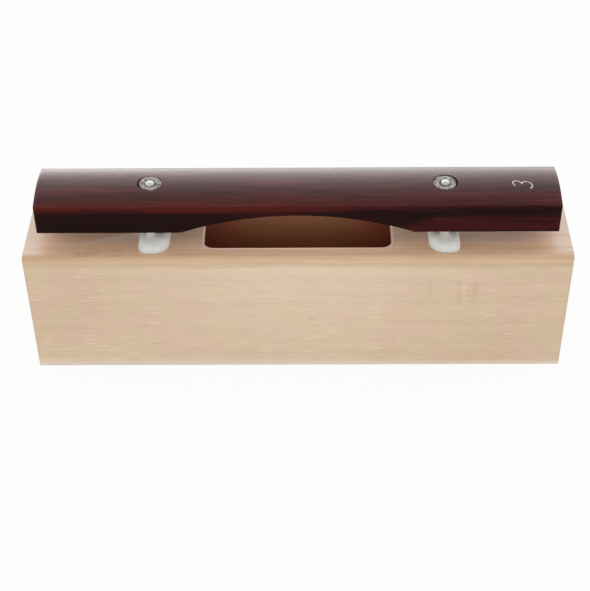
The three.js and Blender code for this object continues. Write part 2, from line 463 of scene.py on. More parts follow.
# %% [markdown]
# Rosewood and maple differ in colour, but wood is wood: growth layers that run the length of a board,
# finer streaks inside them, and pores drawn out into short dashes. One node group makes these three
# patterns from the place on the object, stretched along X. Its inputs are real lengths and widths,
# so that each wood sets its own scale. It puts out plain masks, and each material colours them.

# %% Wood grain group
GRAIN_DETAIL = {"Layer": 3.0, "Streak": 4.0, "Pore": 1.0}
GRAIN_ROUGHNESS = 0.55
WAVER_SCALE = 7.0
PORE_FADE = (0.6, 0.72)


def make_wood_grain():
    group = bpy.data.node_groups.new("wood grain", "ShaderNodeTree")
    lengths = [part + size for part in GRAIN_DETAIL for size in (" Length", " Width")]
    for name, kind in [("Vector", "Vector"), ("Waver", "Float")] + [(name, "Float") for name in lengths]:
        group.interface.new_socket(name=name, in_out="INPUT", socket_type="NodeSocket" + kind)
    for part in GRAIN_DETAIL:
        group.interface.new_socket(name=part + "s", in_out="OUTPUT", socket_type="NodeSocketFloat")
    given = group.nodes.new("NodeGroupInput").outputs
    result = group.nodes.new("NodeGroupOutput")

    sockets = {"Vector": given["Vector"], "Scale": WAVER_SCALE, "Detail": 1.0}
    slow = add_node(group, "ShaderNodeTexNoise", sockets).outputs["Color"]
    centred = vector_arithmetic(group, "SUBTRACT", slow, (0.5, 0.5, 0.5))
    sockets = {0: centred, "Scale": given["Waver"]}
    shift = add_node(group, "ShaderNodeVectorMath", sockets, operation="SCALE").outputs[0]
    wandering = vector_arithmetic(group, "ADD", given["Vector"], shift)

    for part, detail in GRAIN_DETAIL.items():
        length, width = given[part + " Length"], given[part + " Width"]
        cell = add_node(group, "ShaderNodeCombineXYZ", {"X": length, "Y": width, "Z": width}).outputs[0]
        stretched = vector_arithmetic(group, "DIVIDE", wandering, cell)
        pattern = noise_of(group, stretched, 1.0, detail, GRAIN_ROUGHNESS)
        if part == "Pore":
            pattern = remap(group, pattern, *PORE_FADE)
        plug_in(group, result.inputs[part + "s"], pattern)
    return group


wood_grain = make_wood_grain()
print("wood grain:", len(wood_grain.nodes), "nodes")


def grain_of(tree, vector, lengths):
    """The wood grain group in a material, with this wood's lengths and widths in metres."""
    return add_node(tree, "ShaderNodeGroup", {"Vector": vector, **lengths}, node_tree=wood_grain).outputs


# %% [markdown]
# Oiled rosewood is dark red-brown with streaks that go to black. Its crown is rubbed to a polish, and
# its sides are left as planed, so they are darker and mirror far less. A clear coat over a dull wood
# does this: the coat's weight follows how far a face looks up, and open pores break it up. This bar
# also has one black heart layer, which fills the front face at the left and climbs to the edge of the
# crown at the right, with the reddest wood just above it. It is laid in by its height over the front
# edge. The back of the crown is redder again, and the bored holes show dull, dusty wood.

# %% Rosewood
ROSEWOOD_GRAIN = {
    "Waver": 4 * MM, "Layer Length": 100 * MM, "Layer Width": 4.5 * MM, "Streak Length": 28 * MM,
    "Streak Width": 0.9 * MM, "Pore Length": 5 * MM, "Pore Width": 0.3 * MM,
}
ROSEWOOD_STOPS = (
    (0.33, (0.033, 0.008, 0.008)),
    (0.43, (0.049, 0.010, 0.010)),
    (0.53, (0.073, 0.012, 0.012)),
    (0.64, (0.112, 0.018, 0.016)),
)
CROWN_FACES = (0.5, 0.9)
SIDE_SHADE = (0.62, 0.55, 0.55, 1)
BACK_RED = (0.150, 0.020, 0.020, 1)
BACK_FADE = (-6 * MM, 8 * MM, 0.0, 0.22)
OPEN_PORE = (0.005, 0.003, 0.003, 1)
OPEN_PORE_SHARE = 0.6
BORED_WOOD = (0.11, 0.055, 0.052, 1)
BORE_REACH = 7.3 * MM
BORE_EDGE = 0.03 * MM
ROSEWOOD_ROUGHNESS = (0.3, 0.7, 0.42, 0.55)
POLISH_FADES = (("Pores", 0.0, 1.0, 1.0, 0.6), ("Streaks", 0.36, 0.64, 0.82, 1.0))
STREAK_RELIEF = 0.3
ROSEWOOD_BUMP = (0.03 * MM, 0.6)
FRONT_FACE_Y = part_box("tone_bar")[0].y
HEART_BLACK = (0.008, 0.0028, 0.0030, 1)
HEART_WAVE = ((16, 420, 420), 3.0, 0.3, 0.7, -1.6 * MM, 1.6 * MM)
HEART_TOP = (-10 * MM, 140 * MM, 108.8 * MM, 113.9 * MM)
HEART_BOTTOM = (30 * MM, 80 * MM, 86 * MM, 107.8 * MM)
HEART_FADES = (
    ("over top", 2.2 * MM, -1.0 * MM),
    ("over bottom", -3 * MM, 2 * MM, 0.1, 0.92),
    ("streaks", 0.42, 0.66, 1.0, 0.72),
)
STREAK_RED = (0.105, 0.015, 0.011, 1)
RED_FADES = (
    ("over top", 0.0, 5 * MM),
    ("over top", 13 * MM, 7 * MM),
    ("along", 105 * MM, -60 * MM, 0.35, 1.0),
    ("streaks", 0.3, 0.62, 0.25, 0.95),
)


def lay_heart_in(tree, place, streaks, colour):
    """The black heart layer and the red wood above it, along the front of the bar."""
    spot = parts_of(tree, place)
    level = arithmetic(tree, "ADD", spot["Z"], arithmetic(tree, "SUBTRACT", spot["Y"], FRONT_FACE_Y))
    level = arithmetic(tree, "ADD", level, patches(tree, place, *HEART_WAVE))
    values = {
        "along": spot["X"],
        "streaks": streaks,
        "over top": arithmetic(tree, "SUBTRACT", level, remap(tree, spot["X"], *HEART_TOP)),
        "over bottom": arithmetic(tree, "SUBTRACT", level, remap(tree, spot["X"], *HEART_BOTTOM)),
    }
    colour = mix_colours(tree, faded(tree, values, RED_FADES), colour, STREAK_RED)
    return mix_colours(tree, faded(tree, values, HEART_FADES), colour, HEART_BLACK)


def make_rosewood():
    material, tree, shader = new_material("oiled rosewood")
    place = object_place(tree)
    grain = grain_of(tree, place, ROSEWOOD_GRAIN)
    tone = mix_colours(tree, 0.5, grain["Layers"], grain["Streaks"])
    colour = colour_ramp(tree, tone, ROSEWOOD_STOPS)
    crown = remap(tree, parts_of(tree, object_normal(tree))["Z"], *CROWN_FACES)
    sides = mix_colours(tree, 1.0, colour, SIDE_SHADE, "MULTIPLY")
    colour = mix_colours(tree, crown, sides, colour)
    back = remap(tree, parts_of(tree, place)["Y"], *BACK_FADE)
    colour = mix_colours(tree, product(tree, back, crown), colour, BACK_RED)
    colour = lay_heart_in(tree, place, grain["Streaks"], colour)
    colour = mix_colours(tree, product(tree, grain["Pores"], OPEN_PORE_SHARE), colour, OPEN_PORE)
    bored = within(tree, from_pin_axis(tree, place), BORE_REACH, BORE_EDGE)
    relief = arithmetic(tree, "SUBTRACT", product(tree, grain["Streaks"], STREAK_RELIEF), grain["Pores"])
    set_finish(tree, shader, {
        "Base Color": mix_colours(tree, bored, colour, BORED_WOOD),
        "Roughness": remap(tree, grain["Streaks"], *ROSEWOOD_ROUGHNESS),
        "Coat Weight": product(tree, crown, faded(tree, grain, POLISH_FADES)),
        "Coat Roughness": 0.15,
        "Coat IOR": 1.5,
        "Specular IOR Level": 0.05,
        "Normal": bump(tree, relief, *ROSEWOOD_BUMP),
    })
    return material


rosewood = make_rosewood()

# %% [markdown]
# Maple is pale and close-grained, so it shows little: faint long layers, hair-fine streaks, short
# light flecks that come in groups, a warmer cast from place to place and a few brown specks. One
# function lays all that in. Broad casts of a board go under its grain, and features of its own go
# over it. Both come from the next cells: each takes the colour so far, and gives it back changed.

# %% Maple
MAPLE_GRAIN = {
    "Waver": 1.5 * MM, "Layer Length": 260 * MM, "Layer Width": 6 * MM, "Streak Length": 28 * MM,
    "Streak Width": 0.6 * MM, "Pore Length": 3 * MM, "Pore Width": 0.22 * MM,
}
WARM_CAST = (13.0, 2.0, 0.38, 0.62)
BROWN_SHARE = 0.6
GRAIN_ENDS = {"Layers": (0.45, 0.72), "Streaks": (0.42, 0.7), "Pores": (0.0, 1.0)}
PORE_DEPTH = 0.1
LIGHT_FLECK = (0.86, 0.74, 0.57, 1)
FLECK_ROW = (0.05 * MM, 0.5 * MM, 0.5 * MM)
FLECK_DASHES = ((75, 1900, 1900), 0.0, 0.60, 0.72)
FLECK_GROUPS = (36.0, 1.0, 0.38, 0.62, 0.35, 1.0)
SPECK_BROWN = (0.30, 0.18, 0.10, 1)
SPECK_SPACING = 34 * MM
SPECK_RADIUS = 0.4 * MM
SPECK_DEPTH = 0.55
MAPLE_ROUGHNESS = (0.3, 0.7, 0.4, 0.52)
MAPLE_BUMP = (0.02 * MM, 0.4)


def light_flecks(tree, place):
    """Short light dashes along the grain, in groups. Snapping the place to rows keeps them level."""
    rows = vector_arithmetic(tree, "SNAP", place, FLECK_ROW)
    return product(tree, patches(tree, rows, *FLECK_DASHES), patches(tree, place, *FLECK_GROUPS))


def brown_specks(tree, place):
    cells = add_node(tree, "ShaderNodeTexVoronoi", {"Vector": place, "Scale": 1 / SPECK_SPACING})
    return remap(tree, cells.outputs["Distance"], 0.0, SPECK_RADIUS / SPECK_SPACING, SPECK_DEPTH, 0.0)


def make_maple(name, pale, warm, layer_depth, streak_depth, fleck_share=0.4, casts=(), features=(),
               along_y=False):
    material, tree, shader = new_material(name)
    place = object_place(tree)
    grain_place = place
    if along_y:
        quarter_turn = {"Vector": place, "Rotation": (0, 0, math.radians(90))}
        grain_place = add_node(tree, "ShaderNodeMapping", quarter_turn).outputs[0]
    grain = grain_of(tree, grain_place, MAPLE_GRAIN)
    colour = mix_colours(tree, patches(tree, place, *WARM_CAST), pale, warm)
    for cast in casts:
        colour = cast(tree, place, grain, colour)
    brown = tuple(channel * BROWN_SHARE for channel in warm[:3]) + (1,)
    for pattern, depth in (("Layers", layer_depth), ("Streaks", streak_depth), ("Pores", PORE_DEPTH)):
        share = remap(tree, grain[pattern], *GRAIN_ENDS[pattern], 0.0, depth)
        colour = mix_colours(tree, share, colour, brown)
    flecks = product(tree, light_flecks(tree, grain_place), fleck_share)
    colour = mix_colours(tree, flecks, colour, LIGHT_FLECK)
    colour = mix_colours(tree, brown_specks(tree, place), colour, SPECK_BROWN)
    for feature in features:
        colour = feature(tree, place, grain, colour)
    relief = arithmetic(tree, "SUBTRACT", 0.0, arithmetic(tree, "ADD", grain["Streaks"], grain["Pores"]))
    set_finish(tree, shader, {
        "Base Color": colour,
        "Roughness": remap(tree, grain["Streaks"], *MAPLE_ROUGHNESS),
        "Specular IOR Level": 0.45,
        "Normal": bump(tree, relief, *MAPLE_BUMP),
    })
    return material


# %% [markdown]
# Lacquer brings out pink and olive patches in maple, and the long walls are painted paler in the middle
# of their length and higher up, as light. Both are broad casts, so they lie under the grain. The inside
# of the box was never lacquered and has gone red-brown in the dark, and it is painted darker deeper down
# and redder towards the ends of the slot, as shade. That covers all else, so it comes last. Each is a
# mask from the place on the object.

# %% Casts and the raw inside
PINK_MAPLE = (0.668, 0.458, 0.345, 1)
OLIVE_MAPLE = (0.636, 0.508, 0.318, 1)
UNEVEN_PATCHES = (42.0, 2.0, 0.38, 0.62)
UNEVEN_SHARE = 0.62
# Painted light on the long walls, strongest in the middle of their length and higher up.
MIDDLE_LIT_MAPLE = (0.744, 0.586, 0.431, 1)
MIDDLE_LIT_FADES = (("X", 125 * MM, 25 * MM, 0.0, 0.5), ("Z", 45 * MM, 75 * MM, 1.0, 1.7))
CAVITY_HALF_SIZE = {"X": 150.5 * MM, "Y": 21.3 * MM, "Z": 80.1 * MM}
CAVITY_WOOD = (0.54, 0.25, 0.130, 1)
# Painted shade in the cavity: darker deeper down, and redder towards the ends of the slot.
CAVITY_DARK_WOOD_AND_SHADE = (0.43, 0.155, 0.065, 1)
CAVITY_END_SHADE = (0.50, 0.135, 0.075, 1)
CAVITY_SHADE_DEPTH_FADE = (76 * MM, 56 * MM)
CAVITY_STREAK_FADE = (0.4, 0.7, 0.0, 0.4)
CAVITY_END_SHADE_FADE = (28 * MM, 52 * MM, 0.0, 0.8)


def uneven_cast(tree, place, grain, colour):
    """Pink and olive patches as wide as a finger."""
    patch = mix_colours(tree, patches(tree, place, *UNEVEN_PATCHES), PINK_MAPLE, OLIVE_MAPLE)
    return mix_colours(tree, UNEVEN_SHARE, colour, patch)


# Painted light: the long walls are paler in the middle of their length and higher up.
def painted_lit_middle(tree, place, grain, colour):
    spot = parts_of(tree, folded(tree, place))
    return mix_colours(tree, faded(tree, spot, MIDDLE_LIT_FADES), colour, MIDDLE_LIT_MAPLE)


def bare_inside_with_painted_shade(tree, place, grain, colour):
    """Bare wood within the cavity, with painted shade: darker deeper down, and redder from the middle of
    the slot to its ends.
    """
    spot = parts_of(tree, folded(tree, place))
    inside = product(tree, *(within(tree, spot[axis], limit) for axis, limit in CAVITY_HALF_SIZE.items()))
    shaded_bare_wood = mix_colours(tree, remap(tree, spot["Z"], *CAVITY_SHADE_DEPTH_FADE), CAVITY_WOOD, CAVITY_DARK_WOOD_AND_SHADE)
    shaded_bare_wood = mix_colours(tree, remap(tree, grain["Streaks"], *CAVITY_STREAK_FADE), shaded_bare_wood, CAVITY_DARK_WOOD_AND_SHADE)
    shaded_bare_wood = mix_colours(tree, remap(tree, spot["X"], *CAVITY_END_SHADE_FADE), shaded_bare_wood, CAVITY_END_SHADE)
    return mix_colours(tree, inside, colour, shaded_bare_wood)


# %% [markdown]
# The walls carry most of the marks: two patches of ripple figure, whose bars cross the grain of the
# front, a pin knot here and there, the browner end grain of the long walls, a foot painted paler as light
# from the floor, grey wear on the upright corners, and a shade along the top edge where the finish ran
# into the seam.

# %% Features of the walls
RIPPLE_BARS = ((190, 10, 16), 1.0, 0.46, 0.64)
RIPPLE_SHIFT = (0.66, 0, 0)
RIPPLE_FRONT_Y = -28 * MM
RIPPLE_PLACES = (((79 * MM, 61 * MM), (6 * MM, 15 * MM)), ((99 * MM, 58 * MM), (13 * MM, 14 * MM)))
RIPPLE_FADE = (1.0, 0.25, 0.0, 0.75)
RIPPLE_OLIVE = (0.53, 0.395, 0.240, 1)
KNOT_PLACES = ((-87 * MM, -29 * MM, 19 * MM), (8 * MM, -29 * MM, 39 * MM), (96 * MM, 29 * MM, 52 * MM))
KNOT_STRETCH = (0.6, 1.0, 1.0)
KNOT_FADE = (0.4 * MM, 1.8 * MM, 0.2, 0.0)
END_GRAIN_MAPLE = (0.50, 0.34, 0.21, 1)
END_FACES = (0.85, 0.97)
END_PORES = (1400.0, 1.0, 0.45, 0.62, 0.35, 0.75)
END_RINGS = (260.0, 2.0, 0.35, 0.65, 0.6, 1.0)
WALL_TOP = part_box("front_wall")[1].z
SEAM_MAPLE = (0.55, 0.41, 0.255, 1)
SEAM_WAVE = (34.0, 2.0, 0.35, 0.65, -1.0 * MM, 1.0 * MM)
SEAM_FOOT = (20 * MM, 100 * MM, WALL_TOP - 3.0 * MM, WALL_TOP - 4.6 * MM)
SEAM_FULL = WALL_TOP - 0.3 * MM
SEAM_FADE = (20 * MM, 100 * MM, 0.55, 1.0)
# Painted light from the floor on the walls' lowest edge.
FLOOR_LIT_MAPLE = (0.74, 0.64, 0.52, 1)
FLOOR_LIT_TOP = (-60 * MM, 100 * MM, 8.5 * MM, 5 * MM)
FLOOR_LIT_FADE = (1.5 * MM, 0.0, 0.85)
BOX_END, BOX_SIDE, BOX_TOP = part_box("top_board")[1]
WORN_MAPLE = (0.50, 0.44, 0.36, 1)
WORN_FADES = (
    ("X", BOX_END - 1.6 * MM, BOX_END - 0.3 * MM, 0.0, 0.5),
    ("Y", BOX_SIDE - 1.6 * MM, BOX_SIDE - 0.6 * MM),
)


def ripple_figure(tree, place, grain, colour):
    bars = patches(tree, place, *RIPPLE_BARS, shift=RIPPLE_SHIFT)
    bars = product(tree, bars, within(tree, parts_of(tree, place)["Y"], RIPPLE_FRONT_Y))
    for (x, z), (half_length, half_height) in RIPPLE_PLACES:
        away = vector_arithmetic(tree, "SUBTRACT", place, (x, 0, z))
        away = vector_arithmetic(tree, "MULTIPLY", away, (1 / half_length, 0, 1 / half_height))
        share = product(tree, bars, remap(tree, length_of(tree, away), *RIPPLE_FADE))
        colour = mix_colours(tree, share, colour, RIPPLE_OLIVE)
    return colour


def pin_knots(tree, place, grain, colour):
    for knot in KNOT_PLACES:
        away = vector_arithmetic(tree, "SUBTRACT", place, knot)
        away = vector_arithmetic(tree, "MULTIPLY", away, KNOT_STRETCH)
        colour = mix_colours(tree, remap(tree, length_of(tree, away), *KNOT_FADE), colour, SPECK_BROWN)
    return colour


def end_grain(tree, place, grain, colour):
    """The sawn ends of the long walls: a little browner, with pores seen end on."""
    facing = remap(tree, parts_of(tree, folded(tree, object_normal(tree)))["X"], *END_FACES)
    share = product(tree, facing, patches(tree, place, *END_PORES), patches(tree, place, *END_RINGS))
    return mix_colours(tree, share, colour, END_GRAIN_MAPLE)


def seam_shade(tree, place, grain, colour):
    """The walls' shaded top edge, deeper and stronger towards the right."""
    spot = parts_of(tree, place)
    height = arithmetic(tree, "ADD", spot["Z"], patches(tree, place, *SEAM_WAVE))
    shade = remap(tree, height, remap(tree, spot["X"], *SEAM_FOOT), SEAM_FULL)
    shade = product(tree, shade, remap(tree, spot["X"], *SEAM_FADE))
    return mix_colours(tree, shade, colour, SEAM_MAPLE)


def floor_lit_foot(tree, place, grain, colour):
    """Painted light from the floor on the walls' lowest edge, lower towards the right."""
    spot = parts_of(tree, place)
    floor_lit = remap(tree, spot["Z"], remap(tree, spot["X"], *FLOOR_LIT_TOP), *FLOOR_LIT_FADE)
    return mix_colours(tree, floor_lit, colour, FLOOR_LIT_MAPLE)


def worn_corners(tree, place, grain, colour):
    worn = faded(tree, parts_of(tree, folded(tree, place)), WORN_FADES)
    return mix_colours(tree, worn, colour, WORN_MAPLE)


# %% [markdown]
# The top board is browner where it rounds over, partly from its edge grain and partly as painted shade,
# and the lower part of the rounding is painted darker still, as shade. A strip beside and under the bar
# is painted warmer and lighter, and the face past the bar's ends paler, both as painted light. It has
# streaks that grow stronger outwards, and one row of soft spots on its front edge. The rim of its slot is
# painted pale, as a highlight on its eased edge.

# %% Features of the top board
EDGE_UNEVENNESS = (22.0, 2.0, 0.38, 0.62, 0.72, 1.0)
TOWARDS_ENDS = (50 * MM, 80 * MM)
# Browner rounding, partly the board's edge grain and partly painted shade.
ROUNDING_GRAIN_AND_SHADE = (0.680, 0.455, 0.288, 1)
ROUNDING_END_GRAIN_AND_SHADE = (0.620, 0.405, 0.248, 1)
EDGE_FADE = (23.5 * MM, 25.5 * MM, 0.0, 0.95)
# Painted light: warmer and lighter beside and under the bar's edge.
UNDER_BAR_LIT_MAPLE = (0.93, 0.59, 0.38, 1)
UNDER_BAR_LIT_END_MAPLE = (0.760, 0.450, 0.255, 1)
UNDER_BAR_LIT_FADES = (("Y", 15 * MM, 18.5 * MM, 0.0, 0.75), ("Y", 25 * MM, 23 * MM))
# Painted shade on the lower part of the rounding.
LOW_EDGE_SHADE_MAPLE = (0.605, 0.443, 0.287, 1)
LOW_EDGE_SHADE_FADE = (BOX_TOP - 1 * MM, BOX_TOP - 4 * MM, 0.0, 0.8)
# Painted light on the top face past the bar's ends.
PAST_BAR_LIT_MAPLE = (0.870, 0.710, 0.590, 1)
PAST_BAR_LIT_FADES = (("X", 146 * MM, 153 * MM, 0.0, 0.75), ("Y", 27 * MM, 23 * MM))
EDGE_STREAK = (0.520, 0.330, 0.195, 1)
STREAK_PATCHES = ((11, 620, 620), 4.0, 0.48, 0.66)
STREAK_ROUGHNESS = 0.6
STREAK_FADE = (13 * MM, 23 * MM, 0.22, 0.48)
SPOT_PATCHES = ((270, 300, 300), 0.0, 0.46, 0.68, 0.0, 0.5)
SPOT_RUNS = {"X": (-112 * MM, 34 * MM), "Y": (-24 * MM, 3.2 * MM)}
RUN_FULL_SHARE = 0.6
SLOT_LENGTH = 109.5 * MM
SLOT_SETBACK = 10 * MM
SLOT_CORNER = 6 * MM
SLOT_HALF_SIZE = Vector((SLOT_LENGTH / 2, BOX_SIDE - SLOT_SETBACK, 0))
# Painted highlight along the slot's eased rim.
RIM_HIGHLIGHT_REACH = 1.0 * MM
RIM_HIGHLIGHT = (1.00, 0.72, 0.57, 1)


def within_run(tree, value, middle, half_length):
    """1 near a middle, and fading out to 0 at half a length away."""
    away = arithmetic(tree, "ABSOLUTE", arithmetic(tree, "SUBTRACT", value, middle))
    return remap(tree, away, half_length, half_length * RUN_FULL_SHARE)


# Painted light and shade on the top board: the rounding, partly edge grain, and the strip by the bar.
def edges_with_painted_light_and_shade(tree, place, grain, colour):
    spot = parts_of(tree, folded(tree, place))
    unevenness = patches(tree, place, *EDGE_UNEVENNESS)
    to_ends = remap(tree, spot["X"], *TOWARDS_ENDS)
    edge = mix_colours(tree, to_ends, ROUNDING_GRAIN_AND_SHADE, ROUNDING_END_GRAIN_AND_SHADE)
    under_bar_lit = mix_colours(tree, to_ends, UNDER_BAR_LIT_MAPLE, UNDER_BAR_LIT_END_MAPLE)
    for share, wood in (
        (product(tree, remap(tree, spot["Y"], *EDGE_FADE), unevenness), edge),
        (faded(tree, spot, UNDER_BAR_LIT_FADES), under_bar_lit),
        (product(tree, remap(tree, spot["Z"], *LOW_EDGE_SHADE_FADE), unevenness), LOW_EDGE_SHADE_MAPLE),
        (faded(tree, spot, PAST_BAR_LIT_FADES), PAST_BAR_LIT_MAPLE),
    ):
        colour = mix_colours(tree, share, colour, wood)
    return colour


def edge_streaks(tree, place, grain, colour):
    """Streaks along both long edges, and the row of soft spots at the front left."""
    streaks = patches(tree, place, *STREAK_PATCHES, roughness=STREAK_ROUGHNESS)
    outwards = remap(tree, parts_of(tree, folded(tree, place))["Y"], *STREAK_FADE)
    colour = mix_colours(tree, product(tree, streaks, outwards), colour, EDGE_STREAK)
    spot = parts_of(tree, place)
    runs = [within_run(tree, spot[axis], *run) for axis, run in SPOT_RUNS.items()]
    soft_spots = product(tree, patches(tree, place, *SPOT_PATCHES), *runs)
    return mix_colours(tree, soft_spots, colour, EDGE_STREAK)


def painted_rim_highlight(tree, place, grain, colour):
    """A painted highlight: paler where the distance to the slot's rounded outline is small."""
    core = SLOT_HALF_SIZE - Vector((SLOT_CORNER, SLOT_CORNER, 0))
    past_core = vector_arithmetic(tree, "SUBTRACT", folded(tree, place), core)
    reach = level_length(tree, vector_arithmetic(tree, "MAXIMUM", past_core))
    return mix_colours(tree, within(tree, reach, SLOT_CORNER + RIM_HIGHLIGHT_REACH), colour, RIM_HIGHLIGHT)


# %% [markdown]
# With casts and features at hand, the four maples are short to write. The grain of the end walls runs
# along Y, and the boards that only show inside were planed and never lacquered.

# %% The four maples
PALE_MAPLE = (0.680, 0.518, 0.364, 1)
WARM_MAPLE = (0.638, 0.463, 0.316, 1)
PALE_TOP = (0.900, 0.585, 0.410, 1)
WARM_TOP = (0.850, 0.530, 0.350, 1)

wall_maple = make_maple(
    "lacquered maple", PALE_MAPLE, WARM_MAPLE, layer_depth=0.14, streak_depth=0.13, fleck_share=0.42,
    casts=(uneven_cast, painted_lit_middle),
    features=(ripple_figure, pin_knots, end_grain, seam_shade, floor_lit_foot, worn_corners, bare_inside_with_painted_shade),
)
end_maple = make_maple(
    "lacquered maple end walls", PALE_MAPLE, WARM_MAPLE, layer_depth=0.06, streak_depth=0.1,
    fleck_share=0.2, casts=(uneven_cast,), features=(seam_shade, floor_lit_foot, bare_inside_with_painted_shade), along_y=True,
)
top_maple = make_maple(
    "lacquered maple top", PALE_TOP, WARM_TOP, layer_depth=0.12, streak_depth=0.2,
    features=(edges_with_painted_light_and_shade, edge_streaks, painted_rim_highlight, bare_inside_with_painted_shade),
)
inner_maple = make_maple(
    "planed maple", CAVITY_WOOD, CAVITY_DARK_WOOD_AND_SHADE, layer_depth=0.3, streak_depth=0.3,
)

# %% [markdown]
# The saddles are moulded white rubber. Rubber that thin lets a little light in, which rounds off its
# shading, so a good share of subsurface goes under a soft gloss, and a fine mottle keeps it from
# looking like plastic. The tops under the bar are painted paler, as light that reaches in under it, and
# the ridges get a painted red reflection of the bar.

# %% Rubber
RUBBER = (0.645, 0.65, 0.615, 1)
RUBBER_MOTTLE = (0.62, 0.625, 0.58, 1)
MOTTLE_PATCHES = (420.0, 3.0, 0.35, 0.65)
RUBBER_ROUGHNESS = (0.0, 1.0, 0.45, 0.58)
RUBBER_BUMP = (0.02 * MM, 0.5)
# Painted light on the pad tops under the bar.
PAD_TOP_LIT = (0.84, 0.81, 0.755, 1)
PAD_TOP_LIT_FADES = (("Y", 23 * MM, 18 * MM), ("Z", BOX_TOP + 7.2 * MM, BOX_TOP + 6.4 * MM))
# Painted red reflection of the bar on the ridges.
RIDGE_BAR_REFLECTION = (0.66, 0.55, 0.54, 1)
RIDGE_REFLECTION_FADE = (BOX_TOP + 6.6 * MM, BOX_TOP + 7.6 * MM)


def make_rubber():
    material, tree, shader = new_material("white rubber")
    place = object_place(tree)
    spot = parts_of(tree, folded(tree, place))
    mottle = patches(tree, place, *MOTTLE_PATCHES)
    colour = mix_colours(tree, mottle, RUBBER, RUBBER_MOTTLE)
    colour = mix_colours(tree, faded(tree, spot, PAD_TOP_LIT_FADES), colour, PAD_TOP_LIT)
    set_finish(tree, shader, {
        "Base Color": mix_colours(tree, remap(tree, spot["Z"], *RIDGE_REFLECTION_FADE), colour, RIDGE_BAR_REFLECTION),
        "Roughness": remap(tree, mottle, *RUBBER_ROUGHNESS),
        "Subsurface Weight": 0.7,
        "Subsurface Radius": (1.0, 0.95, 0.85),
        "Subsurface Scale": 7 * MM,
        "Specular IOR Level": 0.3,
        "Normal": bump(tree, mottle, *RUBBER_BUMP),
    })
    return material


rubber = make_rubber()

# %% [markdown]
# The felt is pressed from light and dark wool, so its mottle is coarse and strong. It is painted dark in
# the dimple and down the sides, as the shade in those hollows. The pins are dull nickel, scuffed all
# over. The numeral's filler is a pale paste that has worn in patches.

# %% Felt, steel and inlay
FELT_STOPS = (
    (0.36, (0.060, 0.055, 0.055)),
    (0.45, (0.250, 0.232, 0.225)),
    (0.54, (0.440, 0.390, 0.385)),
    (0.64, (0.700, 0.620, 0.610)),
)
WOOL_NOISE = (1500.0, 4.0, 0.7)
TUFT_NOISE = (620.0, 2.0, 0.6)
TUFT_SHARE = 0.6
FELT_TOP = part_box("felt_washer_left")[1].z
# Painted shade in the felt's dimple and down its sides.
FELT_SHADE = (0.050, 0.045, 0.045, 1)
SUNK_SHADE_FADES = (
    ("height", FELT_TOP - 0.6 * MM, FELT_TOP - 1.5 * MM, 0.0, 0.75),
    ("from pin", 4.6 * MM, 5.6 * MM, 0.25, 1.0),
)
FELT_BUMP = (0.12 * MM, 0.9)
NICKEL = (0.84, 0.85, 0.83, 1)
SCUFFED_NICKEL = (0.70, 0.71, 0.68, 1)
SCUFF_PATCHES = (900.0, 3.0, 0.4, 0.7)
NICKEL_ROUGHNESS = (0.0, 1.0, 0.5, 0.62)
FILLER = (0.78, 0.70, 0.68, 1)
WORN_FILLER = (0.55, 0.46, 0.44, 1)
FILLER_PATCHES = (700.0, 3.0, 0.45, 0.7)


def make_felt():
    material, tree, shader = new_material("grey felt")
    place = object_place(tree)
    wool = noise_of(tree, place, *WOOL_NOISE)
    mottle = mix_colours(tree, TUFT_SHARE, wool, noise_of(tree, place, *TUFT_NOISE))
    colour = colour_ramp(tree, mottle, FELT_STOPS)
    values = {"height": parts_of(tree, place)["Z"], "from pin": from_pin_axis(tree, place)}
    set_finish(tree, shader, {
        "Base Color": mix_colours(tree, faded(tree, values, SUNK_SHADE_FADES), colour, FELT_SHADE),
        "Roughness": 0.95,
        "Specular IOR Level": 0.1,
        "Sheen Weight": 0.3,
        "Sheen Roughness": 0.5,
        "Normal": bump(tree, wool, *FELT_BUMP),
    })
    return material


def make_steel():
    material, tree, shader = new_material("nickelled steel")
    scuffs = patches(tree, object_place(tree), *SCUFF_PATCHES)
    set_finish(tree, shader, {
        "Base Color": mix_colours(tree, scuffs, NICKEL, SCUFFED_NICKEL),
        "Roughness": remap(tree, scuffs, *NICKEL_ROUGHNESS),
        "Metallic": 0.65,
    })
    return material


def make_inlay():
    material, tree, shader = new_material("pale inlay")
    worn = patches(tree, object_place(tree), *FILLER_PATCHES)
    colour = mix_colours(tree, worn, FILLER, WORN_FILLER)
    set_finish(tree, shader, {"Base Color": colour, "Roughness": 0.7})
    return material


grey_felt = make_felt()
pin_steel = make_steel()
pale_inlay = make_inlay()

# %% [markdown]
# The box is glued up from planed boards. A board is the simplest piece of joinery: a block whose outer
# corners and foot are rounded and whose other edges are just broken with sandpaper. Those broken edges
# are what makes a glue line show, because two of them meet in a hair-fine groove. The long walls run
# past the end walls, so the box's upright corners are theirs.

# %% Walls
CORNER_EASE = 1.2 * MM
CORNER_SEGMENTS = 4


def wall(node, axis, material):
    """A wall that looks outwards along X (0) or Y (1)."""
    low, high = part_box(node)
    face = max(low[axis], high[axis], key=abs)
    is_long = axis == 1

    def rounded(edge):
        on_face = close_to(middle_of(edge)[axis], face)
        at_foot = close_to(middle_of(edge).z, low.z)
        corner = upright(edge) and on_face and is_long
        face_foot = along(edge, 1 - axis) and on_face and at_foot
        end_foot = along(edge, axis) and at_foot and is_long
        return corner or face_foot or end_foot

    board = block_between(node + "_board", low, high)
    ease_where(board, rounded, CORNER_EASE, CORNER_SEGMENTS)
    ease_sharp_edges(board)
    hand_over(board, [node], "root", material)


wall("front_wall", 1, wall_maple)
wall("back_wall", 1, wall_maple)
wall("left_end_wall", 0, end_maple)
wall("right_end_wall", 0, end_maple)

